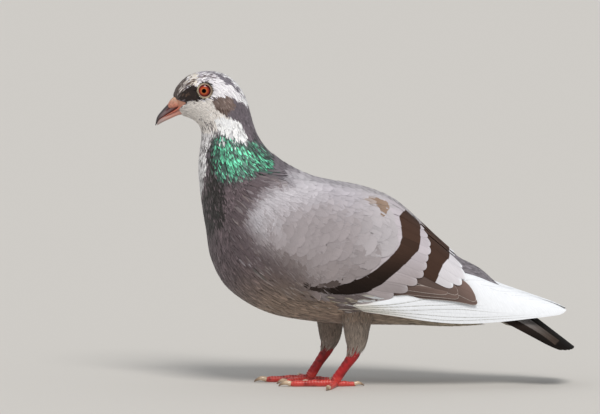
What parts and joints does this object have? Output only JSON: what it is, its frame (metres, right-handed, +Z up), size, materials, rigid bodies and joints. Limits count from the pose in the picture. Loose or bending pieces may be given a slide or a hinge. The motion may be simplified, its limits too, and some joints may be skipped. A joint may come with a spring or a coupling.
{
  "type": "pigeon",
  "caption": "Life-size still model of a standing feral pigeon with folded wings, head turned straight ahead and both feet flat on the floor.",
  "frame": {"origin": "on the floor, under the middle of the bird's length", "axes": "+Z up, -Y the way the bill points, +X the bird's left side"},
  "size_m": [0.092, 0.2894, 0.2169],
  "materials": {
    "head_feathers": "soft matt feathers, white with grey and dark marks",
    "neck_feathers": "feathers with a green and purple sheen",
    "body_feathers": "soft matt grey-brown feathers",
    "rump_feathers": "soft matt grey feathers",
    "tail_feathers": "smooth dark feathers",
    "wing_feathers": "smooth pale grey feathers with two dark bars",
    "white_feathers": "smooth white feathers",
    "thigh_feathers": "soft matt feathers",
    "bill_horn": "dull shine, dark horn",
    "bill_skin": "matt pink skin",
    "leg_skin": "scaled red skin with a low sheen",
    "claw_horn": "dull shine, dark horn",
    "eye_cornea": "wet gloss"
  },
  "bodies": {
    "root": {"bill_lower": "bill_skin", "bill_upper": "bill_horn", "cere": "bill_skin", "claw_left_1": "claw_horn", "claw_left_2": "claw_horn", "claw_left_3": "claw_horn", "claw_left_4": "claw_horn", "claw_right_1": "claw_horn", "claw_right_2": "claw_horn", "claw_right_3": "claw_horn", "claw_right_4": "claw_horn", "eye_left": "eye_cornea", "eye_right": "eye_cornea", "head": "head_feathers", "neck": "neck_feathers", "primaries_left": "white_feathers", "primaries_right": "white_feathers", "rump": "rump_feathers", "shank_left": "leg_skin", "shank_right": "leg_skin", "tail": "tail_feathers", "thigh_left": "thigh_feathers", "thigh_right": "thigh_feathers", "toe_left_1": "leg_skin", "toe_left_2": "leg_skin", "toe_left_3": "leg_skin", "toe_left_4": "leg_skin", "toe_right_1": "leg_skin", "toe_right_2": "leg_skin", "toe_right_3": "leg_skin", "toe_right_4": "leg_skin", "trunk": "body_feathers", "wing_left": "wing_feathers", "wing_right": "wing_feathers"}
  },
  "joints": []
}
